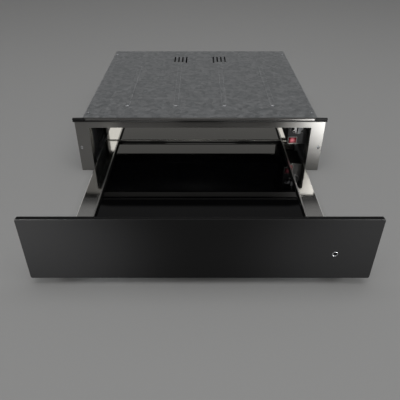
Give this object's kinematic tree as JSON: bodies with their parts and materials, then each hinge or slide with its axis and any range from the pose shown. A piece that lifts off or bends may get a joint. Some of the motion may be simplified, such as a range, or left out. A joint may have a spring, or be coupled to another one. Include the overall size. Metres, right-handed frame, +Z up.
{
  "type": "built-in warming drawer",
  "caption": "Built-in warming drawer: folded steel housing, black front panel, sideless steel tray with a recessed glass heating plate on ball slides, thermostat knob and rocker switch.",
  "frame": {"origin": "centre of the base plate's underside, midway between the front frame's face and the rear panel", "axes": "+X to the right seen from the front, +Y into the cabinet, +Z up"},
  "size_m": [0.595, 0.9448, 0.144],
  "materials": {
    "front_glass": "satin black glass",
    "heat_glass": "polished black glass",
    "brushed_steel": "brushed stainless steel",
    "galvanised": "galvanised sheet",
    "rail_steel": "zinc plated",
    "black_sheet": "black powder coat",
    "black_plastic": "moulded, fine grain",
    "rubber": "soft black",
    "red_lens": "translucent red, lit",
    "white_plastic": "moulded off-white",
    "mineral_fibre": "needled mat",
    "element_steel": "heat-tinted sheath",
    "knob_metal": "turned and anodised"
  },
  "bodies": {
    "housing": {"base_plate": "galvanised", "side_panel_right": "galvanised", "side_panel_left": "galvanised", "rear_panel": "galvanised", "top_cover": "galvanised", "cover_screw_1": "rail_steel", "cover_screw_2": "rail_steel", "cover_screw_3": "rail_steel", "cover_screw_4": "rail_steel", "front_frame": "brushed_steel", "corner_spacer_right": "rubber", "corner_spacer_left": "rubber", "rail_outer_right": "rail_steel", "rail_outer_left": "rail_steel", "rail_bracket_right": "galvanised", "rail_bracket_left": "galvanised", "control_box": "black_sheet", "control_fascia": "black_plastic", "switch_housing": "white_plastic", "thermostat": "rail_steel", "latch_body": "black_plastic", "cable_gland": "black_plastic", "gland_nut": "black_plastic", "terminal_block": "white_plastic"},
    "drawer": {"tray": "brushed_steel", "heater_pan": "galvanised", "heating_glass": "heat_glass", "glass_seal": "rubber", "heating_element": "element_steel", "element_terminal_right": "white_plastic", "element_terminal_left": "white_plastic", "insulation_mat": "mineral_fibre", "pan_cover": "galvanised", "temperature_sensor": "rail_steel", "rear_wall": "brushed_steel", "latch_striker": "black_plastic", "front_glass": "front_glass", "front_carrier": "black_sheet", "indicator_lens": "white_plastic", "indicator_lamp": "black_plastic", "front_bracket_right": "brushed_steel", "front_bracket_left": "brushed_steel", "front_screw_1": "rail_steel", "front_screw_2": "rail_steel", "front_screw_3": "rail_steel", "front_screw_4": "rail_steel", "closing_bumper_right": "rubber", "closing_bumper_left": "rubber", "rail_inner_right": "rail_steel", "rail_inner_left": "rail_steel"},
    "middle_rail_right": {"rail_middle_right": "rail_steel"},
    "middle_rail_left": {"rail_middle_left": "rail_steel"},
    "outer_cage_right": {"ball_cage_outer_right": "rail_steel"},
    "outer_cage_left": {"ball_cage_outer_left": "rail_steel"},
    "inner_cage_right": {"ball_cage_inner_right": "rail_steel"},
    "inner_cage_left": {"ball_cage_inner_left": "rail_steel"},
    "knob": {"temperature_knob": "knob_metal", "knob_shaft": "rail_steel"},
    "rocker": {"rocker_button": "red_lens"},
    "plunger": {"latch_plunger": "white_plastic"}
  },
  "joints": [
    {"name": "drawer_slide", "type": "slide", "parent": "housing", "child": "drawer", "axis": [0, 1, 0], "range_m": [0, 0.3735]},
    {"name": "middle_rail_right_slide", "type": "slide", "parent": "housing", "child": "middle_rail_right", "axis": [0, 1, 0], "range_m": [0, 0.1868]},
    {"name": "middle_rail_left_slide", "type": "slide", "parent": "housing", "child": "middle_rail_left", "axis": [0, 1, 0], "range_m": [0, 0.1868]},
    {"name": "outer_cage_right_roll", "type": "slide", "parent": "housing", "child": "outer_cage_right", "axis": [0, 1, 0], "range_m": [0, 0.0935]},
    {"name": "outer_cage_left_roll", "type": "slide", "parent": "housing", "child": "outer_cage_left", "axis": [0, 1, 0], "range_m": [0, 0.0935]},
    {"name": "inner_cage_right_roll", "type": "slide", "parent": "housing", "child": "inner_cage_right", "axis": [0, 1, 0], "range_m": [0, 0.2802]},
    {"name": "inner_cage_left_roll", "type": "slide", "parent": "housing", "child": "inner_cage_left", "axis": [0, 1, 0], "range_m": [0, 0.2802]},
    {"name": "knob_turn", "type": "hinge", "parent": "housing", "child": "knob", "pos_m": [0.239, -0.24, 0.106], "axis": [0, 1, 0], "range_deg": [0, 300]},
    {"name": "rocker_tilt", "type": "hinge", "parent": "housing", "child": "rocker", "pos_m": [0.228, -0.2385, 0.069], "axis": [0, 0, 1], "range_deg": [-12, 0]},
    {"name": "plunger_push", "type": "slide", "parent": "housing", "child": "plunger", "axis": [0, 1, 0], "range_m": [0, 0.006], "stiffness_N_per_m": 250, "springref_m": -0.006}
  ],
  "couplings": [
    {"joint": "middle_rail_right_slide", "follows": "drawer_slide", "ratio": 0.5},
    {"joint": "middle_rail_left_slide", "follows": "drawer_slide", "ratio": 0.5},
    {"joint": "outer_cage_right_roll", "follows": "drawer_slide", "ratio": 0.25},
    {"joint": "outer_cage_left_roll", "follows": "drawer_slide", "ratio": 0.25},
    {"joint": "inner_cage_right_roll", "follows": "drawer_slide", "ratio": 0.75},
    {"joint": "inner_cage_left_roll", "follows": "drawer_slide", "ratio": 0.75}
  ]
}
